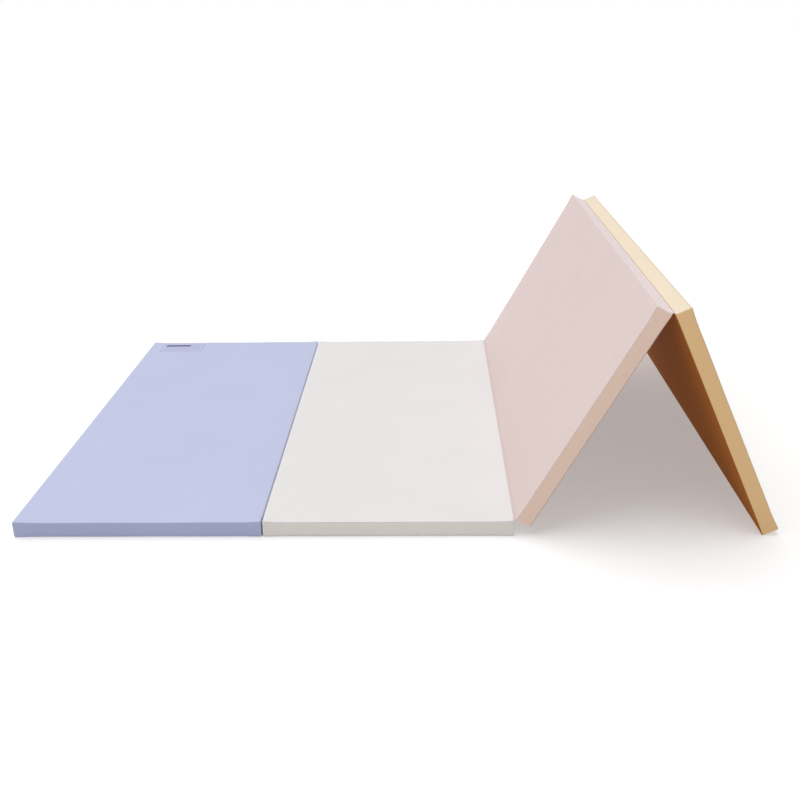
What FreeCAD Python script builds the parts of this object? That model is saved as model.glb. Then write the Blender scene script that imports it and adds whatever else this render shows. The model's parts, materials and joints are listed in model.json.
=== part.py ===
import FreeCAD, Part
import math
import os

from FreeCAD import Vector

# A four-panel folding floor mat: lilac and ivory lie flat, rose and camel stand as a tent.
# Row frame: +X from the lilac end to the camel end, +Y away from the plain side, +Z up.
# The origin is on the floor, midway along X and midway along the panels' depth.
# Each panel has a frame of its own: x from its hinge line towards the next, z from base to top.

# The mat
panel_pitch = 600.0  # from one hinge line to the next
mat_depth = 1400.0
panel_thickness = 40.0
panel_gap = 3.0  # between two panels laid flat
edge_radius = 5.0  # of the padded edges
cover_thickness = 1.2
axis_offset = 1.0  # the hinge axes lie this far outside the hinged faces
rose_slope = 60.5  # degrees up from the floor

# Foam
foam_clearance = 0.3
zip_side_room = 4.0  # between the foam and the outside of the far side, for the zip

# Hinge webs
web_thickness = 1.0
web_overlap = 3.5  # how far a leaf laps the rounded edge that it is sewn to
web_end_margin = 5.0
web_slit = 0.1  # half the gap between the two leaves of a web

# Label on the lilac panel
label_length = 150.0
label_width = 86.0
label_thickness = 0.6
label_corner = 4.0
label_from_end = 42.0
label_from_far_edge = 24.0
stripe_length = 88.0
stripe_width = 13.0
stripe_thickness = 0.15
stripe_inset = 12.0  # from the left end of the label
stripe_drop = 15.5  # from the far edge of the label

# Zip in the far side of each cover, across the middle of its thickness
slot_height = 12.0
slot_margin = 18.0  # from the end of the slot to the end of the panel
tape_thickness = 0.8
tape_lap = 5.0  # how far the tape goes behind the band
teeth_height = 1.8
teeth_gap = 1.0  # slit between the two rows, which the slider's post passes along
teeth_thickness = 2.0
teeth_sunk = 0.4  # below the outer face of the band
stop_length = 2.5
stop_inset = 1.5
slider_length = 12.0
slider_wide = 9.0
slider_narrow = 6.4
slider_front_plate = 1.2
slider_back_plate = 0.9
slider_play = 0.3
slider_corner = 1.0
post_length = 2.5
post_width = 0.8
crown_length = 6.4
crown_width = 2.0
crown_height = 2.8
crown_eye_length = 4.0
crown_eye_height = 1.8
crown_corner = 1.0
pull_length = 20.0
pull_width = 7.0
pull_thickness = 1.2
pull_neck = 4.5
pull_arm_width = 1.4
pull_tip_radius = 3.0
grip_length = 8.0
grip_width = 3.0
grip_depth = 0.3

# What follows from them
panel_start = panel_gap / 2
panel_end = panel_pitch - panel_gap / 2
panel_width = panel_end - panel_start
half_depth = mat_depth / 2
mid_thickness = panel_thickness / 2
teeth_outer = half_depth - teeth_sunk
teeth_inner = teeth_outer - teeth_thickness
row_centre = (teeth_gap + teeth_height) / 2
slot_start = panel_start + slot_margin
slot_end = panel_end - slot_margin
teeth_start = slot_start + stop_inset + stop_length
teeth_end = slot_end - stop_inset - stop_length
slider_home = teeth_start + slider_play + slider_length / 2
zip_travel = teeth_end - teeth_start - slider_length - 2 * slider_play
pull_axis_y = teeth_outer + slider_play + slider_front_plate + crown_eye_height / 2

# Where the tent stands: the ridge is the hinge axis between rose and camel, and the camel
# slope is the one that sets that panel's rounded foot on the floor.
rose_angle = math.radians(rose_slope)
ridge_reach = panel_pitch * math.cos(rose_angle) + (
    panel_thickness + 2 * axis_offset
) * math.sin(rose_angle)
ridge_height = (
    panel_thickness
    + axis_offset
    + panel_pitch * math.sin(rose_angle)
    - (panel_thickness + 2 * axis_offset) * math.cos(rose_angle)
)
foot_along = panel_end - edge_radius
foot_across = axis_offset + edge_radius
foot_drop = ridge_height - edge_radius
camel_angle = math.asin(foot_drop / math.hypot(foot_along, foot_across))
camel_angle += math.atan2(foot_across, foot_along)
camel_slope = math.degrees(camel_angle)

# The camel panel's outermost point in x sets the middle of the object.
camel_reach = (
    ridge_reach
    + foot_along * math.cos(camel_angle)
    + (axis_offset + panel_thickness - edge_radius) * math.sin(camel_angle)
    + edge_radius
)
left_end = -2 * panel_pitch + panel_start
tent_hinge_x = -(left_end + camel_reach) / 2

hinge_1_2 = Vector(tent_hinge_x - panel_pitch, 0, -axis_offset)
hinge_2_3 = Vector(tent_hinge_x, 0, panel_thickness + axis_offset)
hinge_3_4 = Vector(tent_hinge_x + ridge_reach, 0, ridge_height)


def panel_place(slope, pivot, target):
    """The placement that turns a panel by slope degrees about Y and takes pivot to target."""
    turn = FreeCAD.Rotation(Vector(0, 1, 0), slope)
    return FreeCAD.Placement(target - turn.multVec(pivot), turn)


flat_origin = Vector(0, 0, 0)
top_pivot = Vector(0, 0, panel_thickness + axis_offset)
base_pivot = Vector(0, 0, -axis_offset)
lilac_origin = Vector(tent_hinge_x - 2 * panel_pitch, 0, 0)
ivory_origin = Vector(tent_hinge_x - panel_pitch, 0, 0)
places = {
    "lilac": panel_place(0, flat_origin, lilac_origin),
    "ivory": panel_place(0, flat_origin, ivory_origin),
    "rose": panel_place(-rose_slope, top_pivot, hinge_2_3),
    "camel": panel_place(camel_slope, base_pivot, hinge_3_4),
}
# The zips are closed towards the lower end of each panel. On the camel panel that is the
# end furthest from its hinge line.
zip_closes_at_end = {"lilac": False, "ivory": False, "rose": False, "camel": True}


def block(x0, x1, y0, y1, z0, z1):
    return Part.makeBox(x1 - x0, y1 - y0, z1 - z0, Vector(x0, y0, z0))


def rounded_block(x0, x1, y0, y1, z0, z1, radius):
    solid = block(x0, x1, y0, y1, z0, z1)
    return solid.makeFillet(radius, solid.Edges)


def edges_along(solid, axis, test=None):
    """The straight edges of solid that run along axis, and pass test if there is one."""
    found = []
    for edge in solid.Edges:
        ends = edge.Vertexes
        if len(ends) == 2:
            run = ends[1].Point - ends[0].Point
            along = abs(run.dot(axis)) > 0.999 * run.Length
            if along and (test is None or test(edge.CenterOfMass)):
                found.append(edge)
    return found


def plate(outline, y0, y1):
    """An outline of (x, z) points made into a plate from y0 to y1."""
    points = [Vector(x, y0, z) for x, z in outline]
    face = Part.Face(Part.makePolygon(points + points[:1]))
    return face.extrude(Vector(0, y1 - y0, 0))


def panel_block(inset, radius):
    """The panel's whole rounded block, shrunk by inset on every side."""
    return rounded_block(
        panel_start + inset,
        panel_end - inset,
        -half_depth + inset,
        half_depth - inset,
        inset,
        panel_thickness - inset,
        radius,
    )


def cover_sheet(z0, z1):
    """A flat top or base sheet, as far as the rounded edges."""
    return block(
        panel_start + edge_radius,
        panel_end - edge_radius,
        -half_depth + edge_radius,
        half_depth - edge_radius,
        z0,
        z1,
    )


def side_band(top_sheet, base_sheet):
    """The boxing round the four sides, with its rounded edges and the slot for the zip."""
    shell = panel_block(0, edge_radius)
    shell = shell.cut(panel_block(cover_thickness, edge_radius - cover_thickness))
    slot = block(
        slot_start,
        slot_end,
        half_depth - 2 * cover_thickness,
        half_depth + cover_thickness,
        mid_thickness - slot_height / 2,
        mid_thickness + slot_height / 2,
    )
    return shell.cut(top_sheet).cut(base_sheet).cut(slot)


def foam_layers():
    """The foam core's lower and upper layers, bonded at the middle of the thickness."""
    inset = cover_thickness + foam_clearance
    core = rounded_block(
        panel_start + inset,
        panel_end - inset,
        -half_depth + inset,
        half_depth - zip_side_room,
        cover_thickness,
        panel_thickness - cover_thickness,
        edge_radius - inset,
    )
    across = (0, panel_pitch, -half_depth, half_depth)
    lower = core.common(block(*across, 0, mid_thickness))
    upper = core.common(block(*across, mid_thickness, panel_thickness))
    return lower, upper


def mirrored_rows(make_row):
    """A compound of a lower row and its mirror image about the middle of the thickness."""
    lower = make_row(-1)
    upper = make_row(1)
    return Part.makeCompound([lower, upper])


def zip_tapes():
    """Two tapes behind the edges of the slot, one for each row of teeth."""
    outer = half_depth - cover_thickness
    inner_edge = teeth_gap / 2 + teeth_height
    outer_edge = slot_height / 2 + tape_lap

    def row(side):
        z0 = mid_thickness + side * inner_edge
        z1 = mid_thickness + side * outer_edge
        low, high = min(z0, z1), max(z0, z1)
        return block(slot_start, slot_end, outer - tape_thickness, outer, low, high)

    return mirrored_rows(row)


def zip_teeth():
    """The two rows of teeth as plain strips, which the slider runs along."""

    def row(side):
        middle = mid_thickness + side * row_centre
        low = middle - teeth_height / 2
        high = middle + teeth_height / 2
        return block(teeth_start, teeth_end, teeth_inner, teeth_outer, low, high)

    return mirrored_rows(row)


def zip_stops():
    """A stop at each end of the teeth, as tall as both rows."""
    half_height = teeth_gap / 2 + teeth_height
    stops = []
    for x0 in (teeth_start - stop_length, teeth_end):
        stop = block(
            x0,
            x0 + stop_length,
            teeth_inner,
            half_depth - slider_play,
            mid_thickness - half_height,
            mid_thickness + half_height,
        )
        stops.append(stop)
    return Part.makeCompound(stops)


def zip_slider(centre, ahead):
    """The slider: two plates on a post, and a crown that holds the pull.

    ahead is -1 or 1, the way along x that closes the zip.
    """
    wide_end = centre + ahead * slider_length / 2
    shoulder = centre + ahead * slider_length / 8
    narrow_end = centre - ahead * slider_length / 2
    half_outline = [
        (wide_end, slider_wide / 2),
        (shoulder, slider_wide / 2),
        (narrow_end, slider_narrow / 2),
    ]
    above = [(x, mid_thickness + z) for x, z in half_outline]
    below = [(x, mid_thickness - z) for x, z in reversed(half_outline)]
    front_inner = teeth_outer + slider_play
    front_outer = front_inner + slider_front_plate
    back_outer = teeth_inner - slider_play
    front = plate(above + below, front_inner, front_outer)
    back = plate(above + below, back_outer - slider_back_plate, back_outer)
    front = front.makeFillet(slider_corner, edges_along(front, Vector(0, 1, 0)))
    back = back.makeFillet(slider_corner, edges_along(back, Vector(0, 1, 0)))
    post_x = wide_end - ahead * (post_length / 2 + slider_corner)
    post = block(
        post_x - post_length / 2,
        post_x + post_length / 2,
        back_outer,
        front_inner,
        mid_thickness - post_width / 2,
        mid_thickness + post_width / 2,
    )
    crown_top = front_outer + crown_height
    crown = block(
        centre - crown_length / 2,
        centre + crown_length / 2,
        front_outer,
        crown_top,
        mid_thickness - crown_width / 2,
        mid_thickness + crown_width / 2,
    )
    crown = crown.makeFillet(
        crown_corner,
        edges_along(crown, Vector(0, 0, 1), lambda p: p.y > crown_top - 0.01),
    )
    eye = block(
        centre - crown_eye_length / 2,
        centre + crown_eye_length / 2,
        front_outer,
        front_outer + crown_eye_height,
        0,
        panel_thickness,
    )
    return front.fuse([back, post, crown.cut(eye)]).removeSplitter()


def zip_pull(centre, ahead):
    """The pull tab, lying flat ahead of the slider, on the cross bar that it swings on."""
    front = pull_axis_y - pull_thickness / 2
    back = pull_axis_y + pull_thickness / 2
    arm_inner = crown_width / 2 + slider_play + 0.1
    arm_outer = arm_inner + pull_arm_width
    bar = Part.makeCylinder(
        pull_thickness / 2,
        2 * arm_outer,
        Vector(centre, pull_axis_y, mid_thickness - arm_outer),
        Vector(0, 0, 1),
    )
    neck = centre + ahead * pull_neck
    tip = centre + ahead * pull_length
    pieces = [bar]
    for side in (-1, 1):
        z0 = mid_thickness + side * arm_inner
        z1 = mid_thickness + side * arm_outer
        low, high = min(z0, z1), max(z0, z1)
        x0, x1 = min(centre, neck), max(centre, neck)
        pieces.append(block(x0, x1, front, back, low, high))
    x0, x1 = min(neck, tip), max(neck, tip)
    low = mid_thickness - pull_width / 2
    high = mid_thickness + pull_width / 2
    tab = block(x0, x1, front, back, low, high)
    at_tip = edges_along(tab, Vector(0, 1, 0), lambda p: abs(p.x - tip) < 0.01)
    tab = tab.makeFillet(pull_tip_radius, at_tip)
    grip_x = (neck + tip) / 2
    for y0 in (front - grip_depth, back - grip_depth):
        grip = block(
            grip_x - grip_length / 2,
            grip_x + grip_length / 2,
            y0,
            y0 + 2 * grip_depth,
            mid_thickness - grip_width / 2,
            mid_thickness + grip_width / 2,
        )
        grip = grip.makeFillet(grip_width / 2 - 0.01, edges_along(grip, Vector(0, 1, 0)))
        tab = tab.cut(grip)
    return pieces[0].fuse(pieces[1:] + [tab]).removeSplitter()


def zip_position(colour):
    """Where the closed slider is along the panel's x, and the way that closes the zip."""
    if zip_closes_at_end[colour]:
        return panel_pitch - slider_home, 1
    return slider_home, -1


def web_leaf(at_end, at_top):
    """One leaf of a hinge web, from the panel's rounded edge to just short of the axis."""
    if at_end:
        x0, x1 = panel_end - web_overlap, panel_pitch - web_slit
    else:
        x0, x1 = web_slit, panel_start + web_overlap
    if at_top:
        z0, z1 = panel_thickness - web_thickness, panel_thickness
    else:
        z0, z1 = 0, web_thickness
    reach = half_depth - web_end_margin
    return block(x0, x1, -reach, reach, z0, z1).cut(panel_block(0, edge_radius))


def label():
    """The label patch and the plain stripe on it, in the far corner of the top sheet."""
    x0 = panel_start + label_from_end
    y1 = half_depth - label_from_far_edge
    y0 = y1 - label_width
    patch_top = panel_thickness + label_thickness
    patch = block(x0, x0 + label_length, y0, y1, panel_thickness, patch_top)
    patch = patch.makeFillet(label_corner, edges_along(patch, Vector(0, 0, 1)))
    stripe_y = y1 - stripe_drop - stripe_width
    stripe = block(
        x0 + stripe_inset,
        x0 + stripe_inset + stripe_length,
        stripe_y,
        stripe_y + stripe_width,
        patch_top,
        patch_top + stripe_thickness,
    )
    return patch, stripe


def panel_nodes(colour):
    """Every piece of one panel, in the panel's own frame, by node name."""
    top = cover_sheet(panel_thickness - cover_thickness, panel_thickness)
    base = cover_sheet(0, cover_thickness)
    lower, upper = foam_layers()
    centre, ahead = zip_position(colour)
    return {
        f"{colour}_top_sheet": top,
        f"{colour}_base_sheet": base,
        f"{colour}_side_band": side_band(top, base),
        f"{colour}_foam_core_lower": lower,
        f"{colour}_foam_core_upper": upper,
        f"{colour}_zip_tape": zip_tapes(),
        f"{colour}_zip_teeth": zip_teeth(),
        f"{colour}_zip_stops": zip_stops(),
        f"{colour}_zip_slider": zip_slider(centre, ahead),
        f"{colour}_zip_pull": zip_pull(centre, ahead),
    }


def write_node(name, shape, colour):
    moved = shape.copy()
    moved.transformShape(places[colour].toMatrix(), True)
    moved.exportStep(f"parts/{name}.step")


def main():
    os.makedirs("parts", exist_ok=True)
    for colour in places:
        for name, shape in panel_nodes(colour).items():
            write_node(name, shape, colour)
    # Each hinge: the panels on its two sides, and whether it joins their top faces.
    hinges = [("1_2", "lilac", "ivory", False), ("2_3", "ivory", "rose", True)]
    hinges.append(("3_4", "rose", "camel", False))
    for hinge, before, after, at_top in hinges:
        write_node(f"hinge_{hinge}_leaf_{before}", web_leaf(True, at_top), before)
        write_node(f"hinge_{hinge}_leaf_{after}", web_leaf(False, at_top), after)
    patch, stripe = label()
    write_node("label_patch", patch, "lilac")
    write_node("label_stripe", stripe, "lilac")


main()
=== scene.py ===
import json
import math

import bpy
import numpy as np
from mathutils import Matrix, Vector


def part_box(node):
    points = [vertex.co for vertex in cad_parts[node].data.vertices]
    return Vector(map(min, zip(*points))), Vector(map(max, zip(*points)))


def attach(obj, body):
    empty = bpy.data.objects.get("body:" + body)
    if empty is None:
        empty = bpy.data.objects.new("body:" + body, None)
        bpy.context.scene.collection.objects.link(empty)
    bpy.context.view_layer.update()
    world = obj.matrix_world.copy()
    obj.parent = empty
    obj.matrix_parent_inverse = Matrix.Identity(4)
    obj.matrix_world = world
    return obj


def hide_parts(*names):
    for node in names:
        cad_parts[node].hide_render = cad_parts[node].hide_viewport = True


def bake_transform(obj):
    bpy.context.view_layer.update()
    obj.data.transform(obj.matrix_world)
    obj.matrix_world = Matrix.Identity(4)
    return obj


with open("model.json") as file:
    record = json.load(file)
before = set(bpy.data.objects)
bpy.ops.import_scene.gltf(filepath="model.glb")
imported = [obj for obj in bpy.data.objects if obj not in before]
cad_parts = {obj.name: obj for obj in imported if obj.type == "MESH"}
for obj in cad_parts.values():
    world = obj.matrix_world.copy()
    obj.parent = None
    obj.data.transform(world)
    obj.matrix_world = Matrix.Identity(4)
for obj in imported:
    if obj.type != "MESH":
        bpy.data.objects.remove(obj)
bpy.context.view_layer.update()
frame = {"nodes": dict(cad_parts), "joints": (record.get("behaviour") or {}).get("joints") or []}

# A four-panel folding floor mat. Every panel is built in a frame of its own: x from its hinge
# line towards the next one, y across the mat, z from its base to its top, in metres.

MM = 0.001
COLOURS = ("lilac", "ivory", "rose", "camel")

# Where the panels are, from the frame
joints = {joint["name"]: joint for joint in frame["joints"]}
axis_1_2 = Vector(joints["fold_1_2"]["pos_m"])
axis_2_3 = Vector(joints["fold_2_3"]["pos_m"])
rose_slope = -math.radians(joints["fold_2_3"]["range_deg"][0])
ridge_bend = -math.radians(joints["fold_3_4"]["range_deg"][0])
band_low, band_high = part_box("ivory_side_band")
width = band_high.x - band_low.x
half_depth = band_high.y
thickness = band_high.z
pitch = axis_2_3.x - axis_1_2.x
panel_start = (pitch - width) / 2
panel_end = panel_start + width
middle_x = pitch / 2
middle_z = thickness / 2
lilac_x = axis_1_2.x - pitch
ivory_x = axis_1_2.x

# The zip's slot in the far side
tape_low, tape_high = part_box("ivory_zip_tape")
teeth_low, teeth_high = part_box("ivory_zip_teeth")
slot_start = tape_low.x - ivory_x
slot_end = tape_high.x - ivory_x
SLOT_HALF = 6 * MM
SLOT_STEP = 0.4 * MM
SLOT_DEPTH = 3.9 * MM

# The cover's padded edge
EDGE_PLAN = 5 * MM
EDGE_RISE = 4.5 * MM
EDGE_POWER = 0.6  # 1 makes the edge an ellipse, and less makes it squarer
SEAM_ANGLE = 60  # where on the edge the top or base sheet is sewn to the side band
EDGE_ANGLES = (18, 34, 46, 54, SEAM_ANGLE, 66, 73, 81, 90)
SMALL_EDGE_ANGLES = (30, 60, 90)
CORNER_STEPS = 4
CORNER_REACH = 0.5  # 0 rounds the corners fully, and 1 makes them square

# The cover's grid: its lines near each edge of the flat face, and the step between the others
NEAR_EDGE = (0, 3 * MM, 7 * MM, 11.1 * MM, 11.9 * MM, 17 * MM)
GRID_STEP = 14 * MM
# Heights of its rows of points on the walls, from mid-height, which are mirrored below it
WALL_LEVELS = (11 * MM, 8 * MM, SLOT_HALF + SLOT_STEP, SLOT_HALF - SLOT_STEP, 2 * MM)

# How the cover sits on the foam
PULL_IN = 1.1 * MM  # of the near and far sides, midway along
BULGE = 1.18 * MM  # of the hinge sides, at mid-height
BULGE_POWER = 16  # a higher power keeps the bulge full nearer to the seams
DIP = 1.9 * MM  # of the top's near and far edges
HINGE_DIP = 0.5 * MM
BASE_LIFT = 0.7 * MM
OPEN_SWING = 0.2  # how much all this varies along a near or far edge
OPEN_WAVES = (0.21, 0.34)
HINGE_SWING = 0.08
HINGE_WAVES = (0.27, 0.45)
EAR = 0.8 * MM  # how far each sewn corner stands up
EAR_SIZE = 11 * MM
EDGE_REACH = 24 * MM  # how far in from the edge all this is felt
CROWN = 0.75 * MM  # the most that air pressure may move the cover
CROWN_SOFTNESS = 6 * CROWN  # a longer simulated move is held back
SEAM_DEPTH = 0.6 * MM
SEAM_WIDTH = 0.9 * MM
PUCKER = 0.16 * MM
PUCKER_REACH = 7 * MM
PUCKER_WAVES = (17 * MM, 23 * MM, 37 * MM)

# The cloth simulation
PRESSURE = 4
CLOTH_FRAMES = 20
HELD = 1.6 * MM  # how much of the cover each side of a seam stays still

# Seeds of the random phases, to which each panel adds its own number
COVER_SEED_STEP = 10
SEWING_SEED = 5
TAPE_SEED = 40
FOAM_SEEDS = {"lower": 60, "upper": 70}


def turn_about(pivot, angle):
    """The turn by angle about the line through pivot along Y."""
    shift = Matrix.Translation(pivot)
    return shift @ Matrix.Rotation(angle, 4, "Y") @ shift.inverted()


def panel_frames():
    """The matrix that takes each panel's own frame to the frame of the whole mat."""
    lilac = Matrix.Translation((lilac_x, 0, 0))
    ivory = Matrix.Translation((ivory_x, 0, 0))
    flat_rose = Matrix.Translation((axis_2_3.x, 0, 0))
    rose = turn_about(axis_2_3, -rose_slope) @ flat_rose
    flat_camel = Matrix.Translation((pitch, 0, 0))
    base_axis = Vector((pitch, 0, axis_1_2.z))
    camel = rose @ turn_about(base_axis, ridge_bend) @ flat_camel
    return {"lilac": lilac, "ivory": ivory, "rose": rose, "camel": camel}


panel_frame = panel_frames()


# ---------------------------------------------------------------- materials

MIX_A, MIX_B, MIX_RESULT = 6, 7, 2  # the Mix node's colour sockets
CELL_SMOOTHNESS = 0.35
LEATHER_GRAIN = 720  # cells to the metre


class Shader:
    """A material's node tree, with short calls to add and join nodes."""

    def __init__(self, name):
        self.material = bpy.data.materials.new(name)
        self.material.use_nodes = True
        self.tree = self.material.node_tree
        self.surface = self.tree.nodes["Principled BSDF"]
        self.place = self.add("ShaderNodeTexCoord").outputs["Object"]

    def add(self, kind, **settings):
        made = self.tree.nodes.new(kind)
        for name, value in settings.items():
            setattr(made, name, value)
        return made

    def join(self, output, socket):
        self.tree.links.new(output, socket)

    def noise(self, scale, detail=3.0, stretch=None):
        made = self.add("ShaderNodeTexNoise")
        made.inputs["Scale"].default_value = scale
        made.inputs["Detail"].default_value = detail
        place = self.place
        if stretch is not None:
            mapping = self.add("ShaderNodeMapping")
            mapping.inputs["Scale"].default_value = stretch
            self.join(place, mapping.inputs["Vector"])
            place = mapping.outputs["Vector"]
        self.join(place, made.inputs["Vector"])
        return made.outputs["Fac"]

    def cells(self, scale, feature="SMOOTH_F1"):
        made = self.add("ShaderNodeTexVoronoi", feature=feature)
        made.inputs["Scale"].default_value = scale
        if feature == "SMOOTH_F1":
            made.inputs["Smoothness"].default_value = CELL_SMOOTHNESS
        self.join(self.place, made.inputs["Vector"])
        return made.outputs["Distance"]

    def attribute(self, name):
        return self.add("ShaderNodeAttribute", attribute_name=name).outputs["Fac"]

    def between(self, value, from_low, from_high, to_low, to_high):
        made = self.add("ShaderNodeMapRange")
        made.inputs["From Min"].default_value = from_low
        made.inputs["From Max"].default_value = from_high
        made.inputs["To Min"].default_value = to_low
        made.inputs["To Max"].default_value = to_high
        self.join(value, made.inputs["Value"])
        return made.outputs["Result"]

    def feed(self, value, socket):
        """Gives a colour socket a plain colour or another node's output."""
        if isinstance(value, tuple):
            socket.default_value = (*value, 1)
        else:
            self.join(value, socket)

    def mix(self, share, first, second):
        """A colour between first and second, each a colour or an output."""
        made = self.add("ShaderNodeMix", data_type="RGBA")
        self.join(share, made.inputs["Factor"])
        self.feed(first, made.inputs[MIX_A])
        self.feed(second, made.inputs[MIX_B])
        return made.outputs[MIX_RESULT]

    def scaled(self, colour, *amounts):
        """A colour multiplied by each of these outputs."""
        for amount in amounts:
            made = self.add("ShaderNodeMix", data_type="RGBA", blend_type="MULTIPLY")
            made.inputs["Factor"].default_value = 1
            self.feed(colour, made.inputs[MIX_A])
            self.feed(amount, made.inputs[MIX_B])
            colour = made.outputs[MIX_RESULT]
        return colour

    def total(self, first, second, share):
        """first plus share times second."""
        made = self.add("ShaderNodeMath", operation="MULTIPLY_ADD")
        self.join(second, made.inputs[0])
        made.inputs[1].default_value = share
        self.join(first, made.inputs[2])
        return made.outputs["Value"]

    def bump(self, height, distance, strength):
        made = self.add("ShaderNodeBump")
        made.inputs["Strength"].default_value = strength
        made.inputs["Distance"].default_value = distance
        self.join(height, made.inputs["Height"])
        self.join(made.outputs["Normal"], self.surface.inputs["Normal"])

    def colour(self, output):
        self.join(output, self.surface.inputs["Base Color"])

    def roughness(self, output):
        self.join(output, self.surface.inputs["Roughness"])

    def set(self, **values):
        for name, value in values.items():
            self.surface.inputs[name.replace("_", " ")].default_value = value


def shade(colour, amount):
    """A colour made darker, or lighter where amount is above 1."""
    return tuple(min(1.0, c * amount) for c in colour)


def leather(name, colour, second=None, gloss=0.36, rough=0.46, seam_shade=0.8):
    """Matt PU leather: a fine pebbled grain, slight mottling, and painted shade along the seams.
    Where second is given, the leather turns to it by the attribute of that name."""
    shader = Shader(name)
    if second is not None:
        colour = shader.mix(shader.attribute("second"), colour, second)
    mottle = shader.between(shader.noise(5, 4), 0.35, 0.65, 0.99, 1.01)
    speck = shader.between(shader.noise(260, 2), 0.4, 0.7, 1, 0.97)
    # Painted shade: the colour darkens along each seam groove, by the seam attribute.
    seam = shader.between(shader.attribute("seam"), 0, 1, 1, seam_shade)
    shader.colour(shader.scaled(colour, mottle, speck, seam))
    shader.roughness(shader.between(shader.noise(45, 3), 0.3, 0.7, rough, rough + 0.12))
    grain = shader.total(shader.cells(LEATHER_GRAIN), shader.noise(1500, 2), 0.5)
    drape = shader.noise(26, 3, stretch=(1, 0.55, 1))
    shader.bump(shader.total(grain, drape, 0.7), 0.3 * MM, 0.65)
    shader.set(Specular_IOR_Level=gloss)
    return shader.material


def foam(name, colour):
    """Closed-cell foam: packed cells a couple of millimetres across."""
    shader = Shader(name)
    cells = shader.cells(420, "F1")
    pores = shader.between(cells, 0.1, 0.6, 0, 1)
    shader.colour(shader.mix(pores, colour, shade(colour, 0.86)))
    shader.roughness(shader.between(shader.noise(90), 0.3, 0.7, 0.75, 0.95))
    shader.bump(cells, 0.5 * MM, 0.7)
    shader.set(Specular_IOR_Level=0.25)
    return shader.material


def woven(name, colour):
    """Herringbone polyester tape."""
    shader = Shader(name)
    across = shader.add("ShaderNodeTexWave", bands_direction="DIAGONAL")
    across.inputs["Scale"].default_value = 330
    across.inputs["Distortion"].default_value = 1.5
    shader.join(shader.place, across.inputs["Vector"])
    threads = across.outputs["Fac"]
    shader.colour(shader.mix(threads, shade(colour, 0.72), shade(colour, 1.05)))
    shader.roughness(shader.between(shader.noise(300), 0.3, 0.7, 0.7, 0.9))
    shader.bump(threads, 0.25 * MM, 0.8)
    shader.set(Specular_IOR_Level=0.3)
    return shader.material


def nylon(name, colour):
    """Moulded or spun nylon with a faint flow pattern."""
    shader = Shader(name)
    flow = shader.noise(420, 3)
    shader.colour(shader.mix(flow, shade(colour, 0.9), shade(colour, 1.04)))
    shader.roughness(shader.between(shader.noise(900), 0.3, 0.7, 0.3, 0.46))
    shader.bump(flow, 0.06 * MM, 0.5)
    return shader.material


def painted_zinc(name, colour):
    """Cream enamel on a zinc casting, rubbed thin in places."""
    shader = Shader(name)
    rub = shader.between(shader.noise(240, 5), 0.6, 0.72, 0, 0.5)
    shader.colour(shader.mix(rub, colour, shade(colour, 0.66)))
    shader.roughness(shader.between(shader.noise(160, 4), 0.3, 0.7, 0.24, 0.42))
    shader.bump(shader.noise(700, 3), 0.05 * MM, 0.5)
    shader.set(Coat_Weight=0.35, Coat_Roughness=0.18)
    return shader.material


def ink(name, colour):
    """A printed stripe, slightly broken by the grain under it."""
    shader = Shader(name)
    grain = shader.cells(LEATHER_GRAIN)
    shader.colour(shader.mix(grain, shade(colour, 1.12), shade(colour, 0.85)))
    shader.roughness(shader.between(shader.noise(120), 0.3, 0.7, 0.4, 0.55))
    shader.bump(grain, 0.15 * MM, 0.4)
    shader.set(Specular_IOR_Level=0.1)
    return shader.material


# One leather per panel, in lit and shaded copies: the top's colour, the band's colour on the hinge
# sides and on the near and far sides, and the base's colour.
TOP_COLOUR = {
    "lilac": (0.47, 0.50, 0.685),
    "ivory": (0.70, 0.68, 0.68),
    "rose": (0.66, 0.535, 0.515),
    "camel": (0.74, 0.55, 0.34),
}
# Painted light: the hinge sides, the ridge's end faces among them, are the same leather made
# lighter than on top.
HINGE_SIDE_PAINTED_LIGHT_COLOUR = {
    "lilac": (0.50, 0.53, 0.71),
    "ivory": (0.72, 0.70, 0.68),
    "rose": (0.84, 0.74, 0.74),
    "camel": (0.75, 0.64, 0.49),
}
# Painted light and shade: the near and far sides are the same leather recoloured for how they are
# lit, darker on lilac, warmer on ivory and rose, deeper on camel.
OPEN_SIDE_LIGHT_AND_SHADE_COLOUR = {
    "lilac": (0.385, 0.41, 0.60),
    "ivory": (0.70, 0.66, 0.62),
    "rose": (0.76, 0.56, 0.46),
    "camel": (0.72, 0.47, 0.23),
}
BASE_COLOUR = {
    "lilac": (0.40, 0.42, 0.60),
    "ivory": (0.60, 0.57, 0.53),
    "rose": (0.55, 0.36, 0.30),
    # Painted shade: the camel base is a dark saturated brown standing in for the shade inside the
    # tent.
    "camel": (0.37, 0.118, 0.014),
}
LABEL_VIOLET = (0.03, 0.014, 0.1)
top_leather = {c: leather(f"{c}_top_leather", TOP_COLOUR[c]) for c in COLOURS}
# The band turns from the hinge sides' painted light to the near and far sides' painted light and
# shade.
band_painted_light_leather = {
    c: leather(f"{c}_band_painted_light_leather", HINGE_SIDE_PAINTED_LIGHT_COLOUR[c], OPEN_SIDE_LIGHT_AND_SHADE_COLOUR[c]) for c in COLOURS
}
base_leather = {
    c: leather(f"{c}_base_leather", BASE_COLOUR[c], gloss=0.05, rough=0.7) for c in COLOURS
}
web_leather = {
    "hinge_1_2": leather("lilac_web_leather", HINGE_SIDE_PAINTED_LIGHT_COLOUR["lilac"]),
    # Painted shade: the two rose webs are the rose leather made darker, so they look no brighter
    # than the faces beside them.
    "hinge_2_3": leather("rose_top_web_leather", shade(TOP_COLOUR["rose"], 0.88)),
    "hinge_3_4": leather("rose_base_web_leather", shade(HINGE_SIDE_PAINTED_LIGHT_COLOUR["rose"], 0.86)),
}
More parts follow.
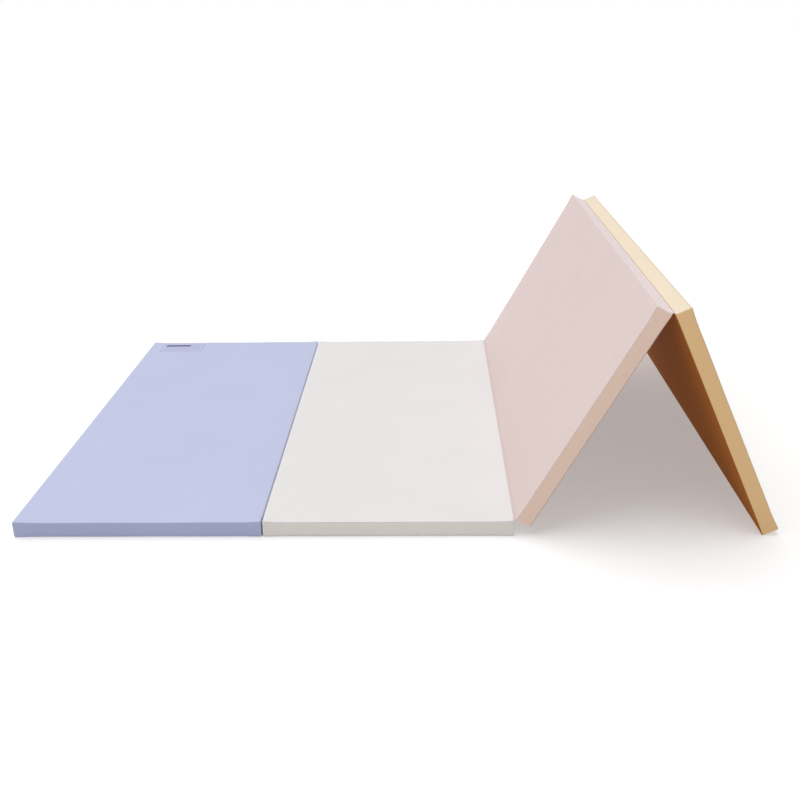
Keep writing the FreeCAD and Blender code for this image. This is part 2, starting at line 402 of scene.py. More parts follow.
# The tapes and threads take the near and far sides' colour, painted light and shade included.
tape_weave = {c: woven(f"{c}_tape_weave", OPEN_SIDE_LIGHT_AND_SHADE_COLOUR[c]) for c in COLOURS}
thread_nylon = {c: nylon(f"{c}_thread", shade(OPEN_SIDE_LIGHT_AND_SHADE_COLOUR[c], 1.15)) for c in COLOURS}
white_foam = foam("white_foam", (0.86, 0.86, 0.83))
teeth_nylon = nylon("zip_teeth_nylon", (0.74, 0.72, 0.68))
zinc = painted_zinc("zip_zinc", (0.76, 0.74, 0.70))
# The label's leather darkens strongly along its weld as painted shade, and turns lighter round its
# rim as a painted highlight.
label_leather = leather("label_leather", (0.42, 0.44, 0.64), (0.50, 0.53, 0.72), seam_shade=0.35)
label_ink = ink("label_ink", LABEL_VIOLET)


# ------------------------------------------------------------- mesh building

RAY_START = 20 * MM  # how far off a cover a ray that finds it starts


def new_object(name, points, faces, materials, smooth=True):
    mesh = bpy.data.meshes.new(name)
    mesh.from_pydata([tuple(p) for p in points], [], [tuple(f) for f in faces])
    for material in materials:
        mesh.materials.append(material)
    mesh.polygons.foreach_set("use_smooth", [smooth] * len(mesh.polygons))
    made = bpy.data.objects.new(name, mesh)
    bpy.context.scene.collection.objects.link(made)
    return made


def read_points(mesh):
    flat = np.empty(len(mesh.vertices) * 3)
    mesh.vertices.foreach_get("co", flat)
    return flat.reshape(-1, 3)


def write_points(mesh, points):
    mesh.vertices.foreach_set("co", np.ascontiguousarray(points).ravel())
    mesh.update()


def read_normals(mesh):
    flat = np.empty(len(mesh.vertices) * 3)
    mesh.vertex_normals.foreach_get("vector", flat)
    return flat.reshape(-1, 3)


def store(mesh, name, values):
    """Keeps one number, or one vector, for each vertex."""
    kind = "FLOAT_VECTOR" if values.ndim == 2 else "FLOAT"
    field = "vector" if values.ndim == 2 else "value"
    made = mesh.attributes.new(name, kind, "POINT")
    made.data.foreach_set(field, np.ascontiguousarray(values, np.float32).ravel())


def recall(mesh, name):
    """Reads back what store kept."""
    found = mesh.attributes[name]
    size = 3 if found.data_type == "FLOAT_VECTOR" else 1
    field = "vector" if size == 3 else "value"
    flat = np.empty(len(mesh.vertices) * size, np.float32)
    found.data.foreach_get(field, flat)
    return flat.astype(float).reshape(-1, 3) if size == 3 else flat.astype(float)


def waves(along, lengths, seed):
    """A sum of sine waves of these lengths, with phases that depend on seed, from -1 to 1."""
    phases = np.random.default_rng(seed).uniform(0, 2 * math.pi, len(lengths))
    total = sum(np.sin(2 * math.pi * along / w + p) for w, p in zip(lengths, phases))
    return total / len(lengths)


def smooth_step(value):
    """0 up to 0, 1 from 1 on, and a smooth rise between."""
    value = np.clip(value, 0, 1)
    return value * value * (3 - 2 * value)


def distance_in(x, y, x_low, x_high, y_low, y_high):
    """How far each point is inside this rectangle."""
    return np.minimum.reduce([x - x_low, x_high - x, y - y_low, y_high - y])


def flipped(faces):
    """The same faces, facing the other way."""
    return [tuple(reversed(face)) for face in faces]


def joined(shapes):
    """Several shapes, each a pair of points and faces, as one such pair."""
    points, faces, start = [], [], 0
    for shape_points, shape_faces in shapes:
        points.append(shape_points)
        faces += [tuple(n + start for n in face) for face in shape_faces]
        start += len(shape_points)
    return np.concatenate(points), faces


def repeated(points, faces, places):
    """The same small shape at each of these places, as one pair of points and faces."""
    return joined([(points + place, faces) for place in places])


def tube_faces(count, layers):
    """The sides and both ends of a tube whose points are in layers of count each."""
    faces = []
    for layer in range(layers - 1):
        a, b = layer * count, (layer + 1) * count
        for n in range(count):
            m = (n + 1) % count
            faces.append((a + n, b + n, b + m, a + m))
    faces.append(tuple(range(count)))
    faces.append(tuple(reversed(range(count * (layers - 1), count * layers))))
    return faces


def graded(low, high, near, step):
    """Positions from low to high, close together at both ends and about step apart between."""
    inner_low, inner_high = low + near[-1], high - near[-1]
    count = max(1, round((inner_high - inner_low) / step))
    middle = np.linspace(inner_low, inner_high, count + 1)
    ends = np.array(near[:-1])
    return np.concatenate([low + ends, middle, (high - ends)[::-1]])


def boundary_walk(columns, rows):
    """The grid's boundary, anticlockwise from above, as (column, row, facing in degrees).
    At a corner the facing turns while the column and row stay."""
    right, far = columns - 1, rows - 1
    sides = [
        ([(i, 0) for i in range(columns)], -90),
        ([(right, j) for j in range(rows)], 0),
        ([(i, far) for i in reversed(range(columns))], 90),
        ([(0, j) for j in reversed(range(rows))], 180),
    ]
    walk = []
    for cells, facing in sides:
        walk += [(i, j, facing) for i, j in cells]
        turns = [facing + 90 * k / CORNER_STEPS for k in range(1, CORNER_STEPS)]
        walk += [(*cells[-1], turn) for turn in turns]
    return walk


def slab_faces(columns, rows, walk, ring_count):
    """The faces of a slab whose points are the top's grid, the rings and the base's grid."""
    count = len(walk)
    first_ring = columns * rows
    base_start = first_ring + count * ring_count
    rim = [i * rows + j for i, j, _ in walk]
    loops = [rim]
    loops += [[first_ring + k * count + n for n in range(count)] for k in range(ring_count)]
    loops += [[base_start + n for n in rim]]
    faces = []
    for i in range(columns - 1):
        for j in range(rows - 1):
            a, b = i * rows + j, (i + 1) * rows + j
            faces.append((a, b, b + 1, a + 1))
            faces.append((base_start + a + 1, base_start + b + 1, base_start + b, base_start + a))
    for upper, lower in zip(loops, loops[1:]):
        for n in range(count):
            m = (n + 1) % count
            corners = [upper[n], lower[n], lower[m], upper[m]]
            faces.append(tuple(dict.fromkeys(corners)))  # three corners where the grid turns
    return faces


def slab(xs, ys, top, base, rings):
    """A closed slab: a flat grid on top and below, and rings of (distance out, z) round it.

    Returns its points, faces and each point's way along the profile: minus the distance to
    the grid's edge on top, then the length down the rings, then on past it on the base.
    """
    walk = boundary_walk(len(xs), len(ys))
    grid_x, grid_y = np.meshgrid(xs, ys, indexing="ij")
    flat_x, flat_y = grid_x.ravel(), grid_y.ravel()
    inward = distance_in(flat_x, flat_y, xs[0], xs[-1], ys[0], ys[-1])
    facing = np.radians([turn for _, _, turn in walk])
    squarest = np.maximum(abs(np.cos(facing)), abs(np.sin(facing)))
    reach = squarest**-CORNER_REACH
    foot_x = np.array([xs[i] for i, _, _ in walk])
    foot_y = np.array([ys[j] for _, j, _ in walk])
    points = [np.column_stack([flat_x, flat_y, np.full(flat_x.shape, top)])]
    profile = [-inward]
    length, before = 0.0, (0.0, top)
    for out, z in rings:
        length += math.dist(before, (out, z))
        before = (out, z)
        ring_x = foot_x + out * reach * np.cos(facing)
        ring_y = foot_y + out * reach * np.sin(facing)
        points.append(np.column_stack([ring_x, ring_y, np.full(ring_x.shape, z)]))
        profile.append(np.full(ring_x.shape, length))
    length += math.dist(before, (0.0, base))
    points.append(np.column_stack([flat_x, flat_y, np.full(flat_x.shape, base)]))
    profile.append(length + inward)
    faces = slab_faces(len(xs), len(ys), walk, len(rings))
    return np.concatenate(points), faces, np.concatenate(profile)


def edge_point(angle, plan, rise):
    """A point on a rounded edge, as how far out it is and how far down."""
    turn = math.radians(angle)
    out = plan * math.sin(turn) ** EDGE_POWER
    return out, rise * (1 - abs(math.cos(turn)) ** EDGE_POWER)


def edge_rings(plan, rise, top, base, angles=SMALL_EDGE_ANGLES, levels=()):
    """Rings down a rounded edge, the wall under it and the rounded edge below."""
    upper = [edge_point(angle, plan, rise) for angle in angles]
    rings = [(out, top - down) for out, down in upper]
    rings += [(plan, z) for z in levels]
    rings += [(out, base + down) for out, down in reversed(upper)]
    return rings


def apply_subdivision(piece):
    """Subdivides the piece's own mesh once, smoothly."""
    piece.modifiers.new("Subdivision", "SUBSURF").levels = 1
    graph = bpy.context.evaluated_depsgraph_get()
    graph.update()
    smooth = bpy.data.meshes.new_from_object(piece.evaluated_get(graph))
    coarse = piece.data
    piece.modifiers.clear()
    piece.data = smooth
    bpy.data.meshes.remove(coarse)


def settle(piece, colour):
    """Takes a finished piece from its panel's frame to the mat's, riding on the panel."""
    piece.data.transform(panel_frame[colour])
    piece.data.update()
    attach(piece, f"{colour}_panel")


# -------------------------------------------------------------------- covers

TOP_SHEET, SIDE_BAND, BASE_SHEET = range(3)  # the cover's materials, in their order


def cover_geometry():
    """The cover before it is sewn down: a slab with the rounded edges that the foam gives it."""
    xs = graded(panel_start + EDGE_PLAN, panel_end - EDGE_PLAN, NEAR_EDGE, GRID_STEP)
    ys = graded(-half_depth + EDGE_PLAN, half_depth - EDGE_PLAN, NEAR_EDGE, GRID_STEP)
    above = [middle_z + z for z in WALL_LEVELS]
    below = [thickness - z for z in reversed(above)]
    rings = edge_rings(EDGE_PLAN, EDGE_RISE, thickness, 0, EDGE_ANGLES, above + below)
    return slab(xs, ys, thickness, 0, rings)


def edge_length(angle):
    """The way down the cover's profile to this angle, along the same straight steps."""
    length, before = 0.0, (0.0, 0.0)
    for step in [a for a in EDGE_ANGLES if a <= angle]:
        here = edge_point(step, EDGE_PLAN, EDGE_RISE)
        length += math.dist(before, here)
        before = here
    return length


top_seam = edge_length(SEAM_ANGLE)


def base_seam(profile):
    """Where the base's seam is on the profile, which is the same from either end."""
    return profile.max() + profile.min() - top_seam


def distance_to_seam(profile):
    return np.minimum(abs(profile - top_seam), abs(profile - base_seam(profile)))


def drawn_in(rest, seed):
    """The cover as its seams hold it: the near and far sides pull in and their edges dip, the
    hinge sides bulge, and the corners stand up."""
    x, y, z = rest.T
    from_open = np.clip(half_depth - abs(y), 0, None)
    from_hinge = np.clip(width / 2 - abs(x - middle_x), 0, None)
    height = (z - middle_z) / middle_z
    open_edge = np.exp(-from_open / EDGE_REACH) * smooth_step(from_hinge / (2 * EDGE_REACH))
    hinge_edge = np.exp(-from_hinge / EDGE_REACH) * smooth_step(from_open / (2 * EDGE_REACH))
    open_edge *= 1 + OPEN_SWING * waves(x, OPEN_WAVES, seed)
    hinge_edge *= 1 + HINGE_SWING * waves(y, HINGE_WAVES, seed + 1)
    ear = np.exp(-np.hypot(from_open, from_hinge) / EAR_SIZE)
    points = rest.copy()
    points[:, 0] += np.sign(x - middle_x) * BULGE * hinge_edge * (1 - height**BULGE_POWER)
    points[:, 1] -= np.sign(y) * PULL_IN * open_edge
    down = DIP * open_edge + HINGE_DIP * hinge_edge - EAR * ear
    up = BASE_LIFT * open_edge
    points[:, 2] -= np.where(height > 0, height * down, height * up)
    return points


def new_cover(colour, seed):
    """A panel's cover as one closed mesh. It keeps where each point was before it was drawn
    in, its way along the profile, and how much it takes the near and far sides' painted light and
    shade."""
    rest, faces, profile = cover_geometry()
    materials = [top_leather[colour], band_painted_light_leather[colour], base_leather[colour]]
    cover = new_object(f"{colour}_cover", drawn_in(rest, seed), faces, materials)
    mesh = cover.data
    store(mesh, "rest", rest)
    store(mesh, "profile", profile)
    from_open_side = half_depth - abs(rest[:, 1])
    from_hinge_side = width / 2 - abs(rest[:, 0] - middle_x)
    nearer = (from_hinge_side - from_open_side) / (2 * EDGE_PLAN)
    # How far each point takes the band's near and far side colour, with its painted light and
    # shade.
    store(mesh, "second", smooth_step(nearer + 0.5))
    way = np.array([np.mean(profile[list(face)]) for face in faces])
    sheet = np.where(way > base_seam(profile), BASE_SHEET, SIDE_BAND)
    sheet = np.where(way < top_seam, TOP_SHEET, sheet)
    mesh.polygons.foreach_set("material_index", sheet.astype(np.int32))
    return cover


def add_cloth(cover):
    """Cloth with air pressure inside it and no gravity, held still along both seams."""
    from_seam = distance_to_seam(recall(cover.data, "profile"))
    held = cover.vertex_groups.new(name="held")
    held.add(np.flatnonzero(from_seam < HELD).tolist(), 1.0, "REPLACE")
    modifier = cover.modifiers.new("Cloth", "CLOTH")
    cloth = modifier.settings
    cloth.quality = 4
    cloth.mass = 0.3
    cloth.tension_stiffness = 40
    cloth.compression_stiffness = 40
    cloth.shear_stiffness = 12
    cloth.bending_stiffness = 2.5
    cloth.vertex_group_mass = "held"
    cloth.use_pressure = True
    cloth.uniform_pressure_force = PRESSURE
    cloth.effector_weights.gravity = 0
    modifier.collision_settings.use_collision = False
    modifier.point_cache.frame_start = 1
    modifier.point_cache.frame_end = CLOTH_FRAMES


def inflate(covers):
    """Lets air pressure swell every cover between its seams, and returns their new points."""
    for cover in covers:
        add_cloth(cover)
    for number in range(1, CLOTH_FRAMES + 1):
        bpy.context.scene.frame_set(number)
    graph = bpy.context.evaluated_depsgraph_get()
    swollen = [read_points(cover.evaluated_get(graph).data) for cover in covers]
    for cover in covers:
        cover.modifiers.clear()
        cover.vertex_groups.clear()
    bpy.context.scene.frame_set(1)
    return swollen


def swell(cover, swollen, base_crown):
    """Moves the cover towards its simulated shape, no further than the foam lets it."""
    points = read_points(cover.data)
    profile = recall(cover.data, "profile")
    move = swollen - points
    size = np.linalg.norm(move, axis=1)
    limit = np.where(profile > base_seam(profile), base_crown, CROWN)
    share = limit * np.tanh(size / CROWN_SOFTNESS) / np.maximum(size, 1e-9)
    write_points(cover.data, points + move * share[:, None])


def sew(cover, seed):
    """Presses in the seams and their puckers, and opens the slot for the zip."""
    mesh = cover.data
    points, normals = read_points(mesh), read_normals(mesh)
    rest = recall(mesh, "rest")
    from_seam = distance_to_seam(recall(mesh, "profile"))
    groove = np.exp(-((from_seam / SEAM_WIDTH) ** 2))
    pucker = waves(rest[:, 0] + rest[:, 1], PUCKER_WAVES, seed)
    pucker *= np.exp(-from_seam / PUCKER_REACH) * (1 - groove)
    points += normals * (PUCKER * pucker - SEAM_DEPTH * groove)[:, None]
    inside_x = np.minimum(rest[:, 0] - slot_start, slot_end - rest[:, 0])
    inside_z = SLOT_HALF - abs(rest[:, 2] - middle_z)
    inside = np.clip(np.minimum(inside_x, inside_z) / SLOT_STEP * 0.5 + 0.5, 0, 1)
    on_far_wall = rest[:, 1] > half_depth - 0.1 * EDGE_PLAN
    inside = np.where(on_far_wall, inside, 0)
    points[:, 1] = points[:, 1] * (1 - inside) + (half_depth - SLOT_DEPTH) * inside
    write_points(mesh, points)
    # The groove is kept as the seam attribute, which the leather darkens as painted shade.
    store(mesh, "seam", np.clip(groove, 0, 1))


def make_covers():
    """Every cover, still in its panel's frame. The bases of the two on the floor stay flat."""
    covers = {c: new_cover(c, COVER_SEED_STEP * n) for n, c in enumerate(COLOURS)}
    swollen = inflate(list(covers.values()))
    for n, (colour, cover) in enumerate(covers.items()):
        on_floor = colour in ("lilac", "ivory")
        swell(cover, swollen[n], 0 if on_floor else CROWN)
        apply_subdivision(cover)
        sew(cover, COVER_SEED_STEP * n + SEWING_SEED)
    return covers


def finish_cover(cover, colour):
    settle(cover, colour)
    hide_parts(f"{colour}_top_sheet", f"{colour}_side_band", f"{colour}_base_sheet")


# ---------------------------------------------------------------------- foam

FOAM_INSET = 4.5 * MM
FOAM_EDGE = 3 * MM
FOAM_ROOM = 1.2 * MM  # between the core and the cover's top and base
FOAM_GRID = 24 * MM
FOAM_NEAR_EDGE = (0, 8 * MM)
FOAM_LEVELS = (4 * MM, 0, -4 * MM)  # from the layer's mid-height
FOAM_RIPPLE = 0.25 * MM
RIPPLE_ALONG = (0.19, 0.31)
RIPPLE_ACROSS = (0.23, 0.4)


def make_foam(colour, layer, seed):
    """One bonded layer of the core, hot-wire cut, so its faces wander a little."""
    low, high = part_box(f"ivory_foam_core_{layer}")
    base, top = low.z, high.z
    if layer == "upper":
        top -= FOAM_ROOM
    else:
        base += FOAM_ROOM
    reach = FOAM_INSET + FOAM_EDGE
    xs = graded(panel_start + reach, panel_end - reach, FOAM_NEAR_EDGE, FOAM_GRID)
    ys = graded(-half_depth + reach, half_depth - reach, FOAM_NEAR_EDGE, FOAM_GRID)
    levels = [(base + top) / 2 + z for z in FOAM_LEVELS]
    rings = edge_rings(FOAM_EDGE, FOAM_EDGE, top, base, levels=levels)
    points, faces, _ = slab(xs, ys, top, base, rings)
    ripple = waves(points[:, 0], RIPPLE_ALONG, seed) * waves(points[:, 1], RIPPLE_ACROSS, seed + 1)
    bonded = base if layer == "upper" else top
    free = abs(points[:, 2] - bonded) / (top - base)
    points[:, 2] += FOAM_RIPPLE * ripple * free
    piece = new_object(f"{colour}_foam_{layer}", points, faces, [white_foam])
    apply_subdivision(piece)
    settle(piece, colour)
    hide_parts(f"{colour}_foam_core_{layer}")


# ----------------------------------------------------------------------- zip

TOOTH_PITCH = 2.3 * MM
TOOTH_LENGTH = 1.5 * MM
TOOTH_OVERLAP = 0.35 * MM  # how far a tooth's head reaches past the middle
TOOTH_SHOULDER = 0.5 * MM
TOOTH_BEVEL = 0.35 * MM
TOOTH_FRONT = 0.72  # the size of its front face, beside the rest of it

TAPE_THICKNESS = 0.7 * MM
TAPE_FROM_MIDDLE = 0.9 * MM
TAPE_TUCK = 0.5 * MM  # past the slot's long edges
TAPE_END = 0.5 * MM  # short of the slot's ends
TAPE_DEPTH = 1.5 * MM  # below the cover's far side
TAPE_RIM = 0.25 * MM
TAPE_ROUNDING = 0.2 * MM
TAPE_RIPPLE = 0.12 * MM
TAPE_WAVES = (31 * MM, 47 * MM)
TAPE_COLUMNS = 140
TAPE_ROWS = 5

STOP_LENGTH = 2.5 * MM
STOP_EDGE = 0.5 * MM
STOP_COLUMNS = 4
STOP_ROWS = 7
CRIMP_DEPTH = 0.35 * MM
CRIMP_WIDTH = 0.8 * MM

STITCH_PITCH = 3.4 * MM
STITCH_LENGTH = 2.5 * MM
STITCH_RADIUS = 0.32 * MM
STITCH_SIDES = 6
STITCH_FROM_SLOT = 2.6 * MM
STITCH_PAST_SLOT = 3 * MM


def tooth_shape(side):
    """One zip tooth: a block with a narrower head that reaches just past the middle."""
    root = abs(teeth_high.z - middle_z)
    head = -TOOTH_OVERLAP
    half = TOOTH_LENGTH / 2
    front = teeth_high.y - teeth_low.y
    outline = [
        (-0.8 * half, root),
        (-half, root - TOOTH_SHOULDER),
        (-half, head + TOOTH_SHOULDER),
        (-0.5 * half, head),
        (0.5 * half, head),
        (half, head + TOOTH_SHOULDER),
        (half, root - TOOTH_SHOULDER),
        (0.8 * half, root),
    ]
    layers = ((0, 1.0), (front - TOOTH_BEVEL, 1.0), (front, TOOTH_FRONT))
    centre_z = (root + head) / 2
    points = []
    for y, size in layers:
        for x, z in outline:
            points.append((x * size, y, side * (centre_z + (z - centre_z) * size)))
    faces = tube_faces(len(outline), len(layers))
    return np.array(points), flipped(faces) if side < 0 else faces


def make_teeth(colour):
    """Two meshed rows of teeth, set half a pitch apart."""
    first = teeth_low.x - ivory_x + TOOTH_PITCH / 2
    last = teeth_high.x - ivory_x - TOOTH_LENGTH / 2
    rows = []
    for side, offset in ((-1, 0), (1, TOOTH_PITCH / 2)):
        places = [(x, teeth_low.y, middle_z) for x in np.arange(first + offset, last, TOOTH_PITCH)]
        rows.append(repeated(*tooth_shape(side), places))
    points, faces = joined(rows)
    piece = new_object(f"{colour}_zip_teeth_rows", points, faces, [teeth_nylon], smooth=False)
    settle(piece, colour)
    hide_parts(f"{colour}_zip_teeth")


def stood_up(flat_points, y):
    """Points of a slab that lies with its top at height 0, stood up to face +Y at y."""
    return np.column_stack([flat_points[:, 0], flat_points[:, 2] + y, flat_points[:, 1]])


def make_tapes(colour, seed):
    """The two tapes, from the slot's folded edges to under the teeth, which they hold."""
    xs = np.linspace(slot_start + TAPE_END, slot_end - TAPE_END, TAPE_COLUMNS)
    rings = [(TAPE_RIM, -TAPE_ROUNDING), (TAPE_RIM, -TAPE_THICKNESS + TAPE_ROUNDING)]
    tapes = []
    for side in (-1, 1):
        reach = (TAPE_FROM_MIDDLE, SLOT_HALF + TAPE_TUCK)
        edges = sorted(middle_z + side * z for z in reach)
        strip, faces, _ = slab(xs, np.linspace(*edges, TAPE_ROWS), 0, -TAPE_THICKNESS, rings)
        strip[:, 2] += TAPE_RIPPLE * waves(strip[:, 0], TAPE_WAVES, seed + side)
        tapes.append((stood_up(strip, half_depth - TAPE_DEPTH), flipped(faces)))
    points, faces = joined(tapes)
    piece = new_object(f"{colour}_zip_tapes", points, faces, [tape_weave[colour]])
    settle(piece, colour)
    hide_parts(f"{colour}_zip_tape")


def make_stops(colour):
    """A crimped stop over each end of the teeth."""
    low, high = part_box("ivory_zip_stops")
    half = (high.z - low.z) / 2 - STOP_EDGE
    zs = np.linspace(middle_z - half, middle_z + half, STOP_ROWS)
    rings = edge_rings(STOP_EDGE, STOP_EDGE, 0, low.y - high.y)
    reach = STOP_LENGTH / 2 - STOP_EDGE
    stops = []
    for centre in (low.x - ivory_x + STOP_LENGTH / 2, high.x - ivory_x - STOP_LENGTH / 2):
        xs = np.linspace(centre - reach, centre + reach, STOP_COLUMNS)
        block, faces, _ = slab(xs, zs, 0, low.y - high.y, rings)
        crimp = np.exp(-(((block[:, 1] - middle_z) / CRIMP_WIDTH) ** 2))
        on_front = block[:, 2] > -0.6 * STOP_EDGE
        block[:, 2] -= np.where(on_front, CRIMP_DEPTH * crimp, 0)
        stops.append((stood_up(block, high.y), flipped(faces)))
    points, faces = joined(stops)
    piece = new_object(f"{colour}_zip_end_stops", points, faces, [teeth_nylon])
    settle(piece, colour)
    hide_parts(f"{colour}_zip_stops")


def stitch_shape():
    """One lockstitch: a short thread that dives into the cover at both ends."""
    half = STITCH_LENGTH / 2
    # Along the stitch: x, then how far it stands up and how thick it is, in radii
    stations = [(-half, -0.5, 0.45), (-0.6 * half, 0.35, 0.9), (0, 0.55, 1.0)]
    stations += [(0.6 * half, 0.35, 0.9), (half, -0.5, 0.45)]
    points = []
    for x, lift, size in stations:
        for n in range(STITCH_SIDES):
            turn = 2 * math.pi * n / STITCH_SIDES
            y = STITCH_RADIUS * (lift + size * math.cos(turn))
            points.append((x, y, STITCH_RADIUS * size * math.sin(turn)))
    return np.array(points), flipped(tube_faces(STITCH_SIDES, len(stations)))


def make_stitching(colour, cover):
    """Two rows of topstitching on the far side, above and below the slot."""
    xs = np.arange(slot_start - STITCH_PAST_SLOT, slot_end + STITCH_PAST_SLOT, STITCH_PITCH)
    places = []
    for side in (-1, 1):
        z = middle_z + side * (SLOT_HALF + STITCH_FROM_SLOT)
        for x in xs:
            hit, where, _, _ = cover.ray_cast((x, half_depth + RAY_START, z), (0, -1, 0))
            places.append((x, where.y if hit else half_depth, z))
    points, faces = repeated(*stitch_shape(), places)
    piece = new_object(f"{colour}_zip_stitching", points, faces, [thread_nylon[colour]])
    settle(piece, colour)


def make_zip(colour, cover, seed):
    make_teeth(colour)
    make_tapes(colour, seed)
    make_stops(colour)
    make_stitching(colour, cover)
    for name in (f"{colour}_zip_slider", f"{colour}_zip_pull"):
        node = frame["nodes"][name]
        node.data.materials.clear()
        node.data.materials.append(zinc)


# ---------------------------------------------------------------------- webs

WEB_THICKNESS = 0.8 * MM
WEB_HALF = 3.1 * MM
WEB_BEND = 1.6 * MM  # how far each side of the hinge line the web bends
WEB_SINK = 0.4 * MM  # how far in from the panels' faces its middle is
WEB_EDGE_SINK = 1.9 * MM  # how much further in its sewn edges are
WEB_POWER = 2.4  # a higher power keeps the middle flatter
WEB_STEPS = 24
WEB_END = 5 * MM
WEB_STATIONS = 140
WEB_RIPPLE = 0.12 * MM
WEB_WAVES = (41 * MM, 67 * MM)


def web_section(at_top):
    """The web's outline in the flat mat, as points (x, z) in the frame of the panel before."""
    line = []
    for k in range(WEB_STEPS + 1):
        x = WEB_HALF * (2 * k / WEB_STEPS - 1)
        line.append((x, WEB_SINK + WEB_EDGE_SINK * abs(x / WEB_HALF) ** WEB_POWER))
    line = np.array(line)
    along = np.gradient(line, axis=0)
    away = np.column_stack([-along[:, 1], along[:, 0]])
    away /= np.linalg.norm(away, axis=1)[:, None]
    half = WEB_THICKNESS / 2
    section = np.concatenate([line + away * half, (line - away * half)[::-1]])
    section[:, 0] += pitch
    if at_top:
        section[:, 1] = thickness - section[:, 1]
    return section


def bend_web(points, axis_z, rest_turn):
    """Turns what is past the hinge line about its axis, smoothly over the bend."""
    turn = rest_turn * smooth_step((points[:, 0] - pitch) / (2 * WEB_BEND) + 0.5)
    x, z = points[:, 0] - pitch, points[:, 2] - axis_z
    points[:, 0] = pitch + x * np.cos(turn) + z * np.sin(turn)
    points[:, 2] = axis_z - x * np.sin(turn) + z * np.cos(turn)


def make_web(hinge, before, after, axis_z, at_top, rest_turn, seed):
    """A strip of cover leather from the seam of one panel to the seam of the next.
    """
    section = web_section(at_top)
    reach = half_depth - WEB_END
    points = []
    for y in np.linspace(-reach, reach, WEB_STATIONS):
        ripple = WEB_RIPPLE * waves(np.array([y]), WEB_WAVES, seed)[0]
        if not at_top:
            ripple = abs(ripple)  # a web at the base stays off the floor
        for x, z in section:
            inner = 1 - min(1, abs(x - pitch) / WEB_HALF)
            points.append((x, y, z + ripple * inner))
    points = np.array(points)
    bend_web(points, axis_z, rest_turn)
    faces = tube_faces(len(section), WEB_STATIONS)
    if not at_top:
        faces = flipped(faces)
    web = new_object(f"{hinge}_web", points, faces, [web_leather[hinge]])
    web.data.transform(panel_frame[before])
    web.data.update()
    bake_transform(web)
    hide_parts(f"{hinge}_leaf_{before}", f"{hinge}_leaf_{after}")
    return web


def make_webs():
    base_axis, top_axis = axis_1_2.z, axis_2_3.z
    first = make_web("hinge_1_2", "lilac", "ivory", base_axis, False, 0, seed=3)
    second = make_web("hinge_2_3", "ivory", "rose", top_axis, True, -rose_slope, seed=5)
    third = make_web("hinge_3_4", "rose", "camel", base_axis, False, ridge_bend, seed=7)


# --------------------------------------------------------------------- label

LABEL_RIM = 1.5 * MM
LABEL_ROUNDING = 0.3 * MM
LABEL_GRID = 1.6 * MM
LABEL_NEAR_EDGE = (0, 1 * MM)
LABEL_BORDER = 9 * MM
LABEL_BORDER_BLUR = 2 * MM
LABEL_LIFT = -0.12 * MM  # below 0 presses it into the cover
WELD_FROM_EDGE = 2.6 * MM
WELD_WIDTH = 1 * MM
WELD_DEPTH = 0.3 * MM

STRIPE_COLUMNS = 50
STRIPE_ROWS = 4
STRIPE_FLAT = 0.5 * MM  # half the width that isn't rounded off
STRIPE_RAISE = 0.05 * MM
STRIPE_SINK = 0.1 * MM
STRIPE_ROUNDING = 0.12 * MM
STRIPE_LIFT = -0.08 * MM


def lay_on(piece, cover, lift):
    """Moves each point of a piece down as far as the cover under it is below the flat top."""
    points = read_points(piece.data)
    for point in points:
        above = (point[0], point[1], thickness + RAY_START)
        hit, where, _, _ = cover.ray_cast(above, (0, 0, -1))
        if hit:
            point[2] += where.z - thickness + lift
    write_points(piece.data, points)


def make_label_patch(cover):
    """A plain patch with a welded border and no lettering."""
    low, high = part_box("label_patch")
    x0, x1 = low.x - lilac_x, high.x - lilac_x
    xs = graded(x0 + LABEL_RIM, x1 - LABEL_RIM, LABEL_NEAR_EDGE, LABEL_GRID)
    ys = graded(low.y + LABEL_RIM, high.y - LABEL_RIM, LABEL_NEAR_EDGE, LABEL_GRID)
    rings = edge_rings(LABEL_RIM, LABEL_ROUNDING, high.z, low.z)
    points, faces, _ = slab(xs, ys, high.z, low.z, rings)
    inward = distance_in(points[:, 0], points[:, 1], x0, x1, low.y, high.y)
    weld = np.exp(-(((inward - WELD_FROM_EDGE) / WELD_WIDTH) ** 2))
    on_top = points[:, 2] > (low.z + high.z) / 2
    points[:, 2] -= np.where(on_top, WELD_DEPTH * weld, 0)
    patch = new_object("label_patch_welded", points, faces, [label_leather])
    # The weld line is kept as the seam attribute, which the label leather darkens as painted
    # shade.
    store(patch.data, "seam", np.where(on_top, weld, 0))
    # Painted highlight: the leather turns lighter in a band round the patch's rim.
    border = smooth_step((LABEL_BORDER - inward) / LABEL_BORDER_BLUR + 0.5)
    store(patch.data, "second", border)
    lay_on(patch, cover, LABEL_LIFT)
    settle(patch, "lilac")
    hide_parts("label_patch")


def make_label_stripe(cover):
    """A plain violet stripe printed on the patch."""
    low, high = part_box("label_stripe")
    rim = (high.y - low.y) / 2 - STRIPE_FLAT
    xs = np.linspace(low.x - lilac_x + rim, high.x - lilac_x - rim, STRIPE_COLUMNS)
    ys = np.linspace(low.y + rim, high.y - rim, STRIPE_ROWS)
    top, base = high.z + STRIPE_RAISE, low.z - STRIPE_SINK
    points, faces, _ = slab(xs, ys, top, base, edge_rings(rim, STRIPE_ROUNDING, top, base))
    stripe = new_object("label_stripe_print", points, faces, [label_ink])
    lay_on(stripe, cover, STRIPE_LIFT)
    settle(stripe, "lilac")
    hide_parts("label_stripe")


# --------------------------------------------------------------------- stage

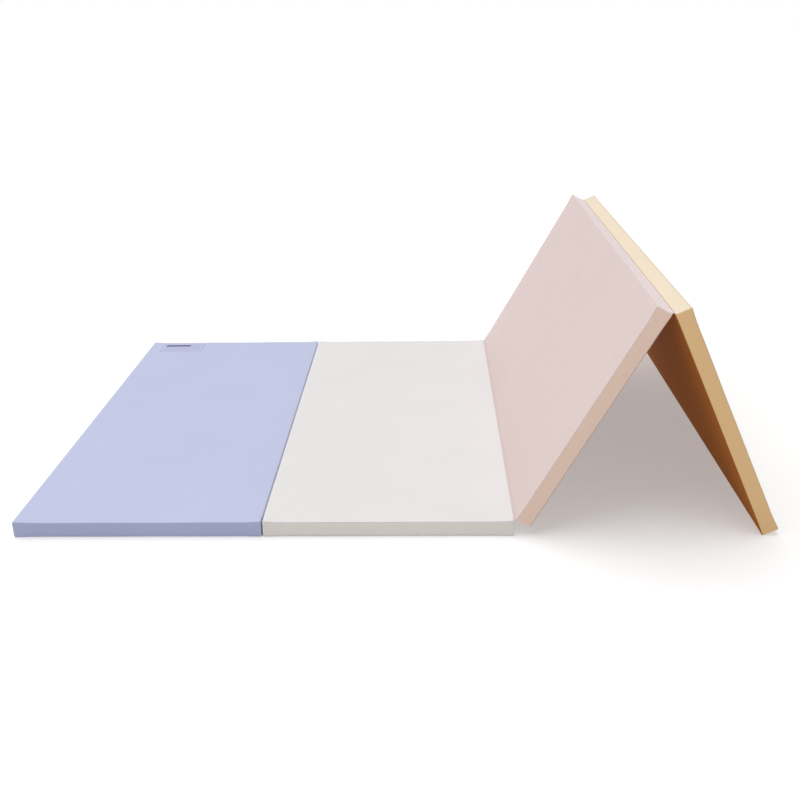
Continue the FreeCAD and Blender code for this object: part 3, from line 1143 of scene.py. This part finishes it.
CAMERA_PLACE = (0.089, -2.867, 1.181)
CAMERA_TILT = 68.96
CAMERA_ROLL = 0.90
CAMERA_TURN = 1.34
CAMERA_LENS = 46.4
SENSOR_WIDTH = 36
FLOOR_SIZE = 60
FLOOR_DROP = 0.5 * MM
FLOOR_TONES = ((0.61, 0.61, 0.61), (0.63, 0.63, 0.63))
KEY_FROM = (-0.35, 0.12, 0.93)
KEY_STRENGTH = 2.35
KEY_SPREAD = 75
AMBIENT = 0.48
WHITE = (1, 1, 1, 1)


def make_camera():
    data = bpy.data.cameras.new("camera")
    data.lens = CAMERA_LENS
    data.sensor_width = SENSOR_WIDTH
    camera = bpy.data.objects.new("camera", data)
    bpy.context.scene.collection.objects.link(camera)
    camera.location = CAMERA_PLACE
    turns = (CAMERA_TILT, CAMERA_ROLL, CAMERA_TURN)
    camera.rotation_euler = [math.radians(turn) for turn in turns]
    bpy.context.scene.camera = camera


def make_floor():
    half = FLOOR_SIZE / 2
    corners = [(-half, -half), (half, -half), (half, half), (-half, half)]
    points = [(x, y, -FLOOR_DROP) for x, y in corners]
    shader = Shader("studio_floor")
    patchy = shader.noise(1.5, 2)
    shader.colour(shader.mix(patchy, *FLOOR_TONES))
    shader.set(Roughness=0.8, Specular_IOR_Level=0.1)
    shader.set(Emission_Color=WHITE, Emission_Strength=0.35)
    floor = new_object("studio_floor", points, [(0, 1, 2, 3)], [shader.material])


def make_key():
    """One very broad soft light from above."""
    data = bpy.data.lights.new("overhead_key", "SUN")
    data.energy = KEY_STRENGTH
    data.angle = math.radians(KEY_SPREAD)
    key = bpy.data.objects.new("overhead_key", data)
    bpy.context.scene.collection.objects.link(key)
    key.rotation_euler = (-Vector(KEY_FROM)).to_track_quat("-Z", "Y").to_euler()


def make_room():
    """An even white room, dimmer as a light than as a background."""
    world = bpy.data.worlds.new("studio")
    bpy.context.scene.world = world
    world.use_nodes = True
    tree = world.node_tree
    soft = tree.nodes["Background"]
    soft.inputs["Color"].default_value = WHITE
    soft.inputs["Strength"].default_value = AMBIENT
    seen = tree.nodes.new("ShaderNodeBackground")
    seen.inputs["Color"].default_value = WHITE
    seen.inputs["Strength"].default_value = 1.0
    path = tree.nodes.new("ShaderNodeLightPath")
    mixed = tree.nodes.new("ShaderNodeMixShader")
    tree.links.new(path.outputs["Is Camera Ray"], mixed.inputs["Fac"])
    tree.links.new(soft.outputs["Background"], mixed.inputs[1])
    tree.links.new(seen.outputs["Background"], mixed.inputs[2])
    tree.links.new(mixed.outputs["Shader"], tree.nodes["World Output"].inputs["Surface"])
    bpy.context.scene.view_settings.view_transform = "Standard"


# -------------------------------------------------------------- the whole mat

make_camera()
make_floor()
make_key()
make_room()
covers = make_covers()
make_label_patch(covers["lilac"])
make_label_stripe(covers["lilac"])
for number, colour in enumerate(COLOURS):
    make_zip(colour, covers[colour], TAPE_SEED + number)
    for layer, seed in FOAM_SEEDS.items():
        make_foam(colour, layer, seed + number)
    # The cover leaves its panel's frame last, after the label and the stitches lie on it there
    finish_cover(covers[colour], colour)
make_webs()
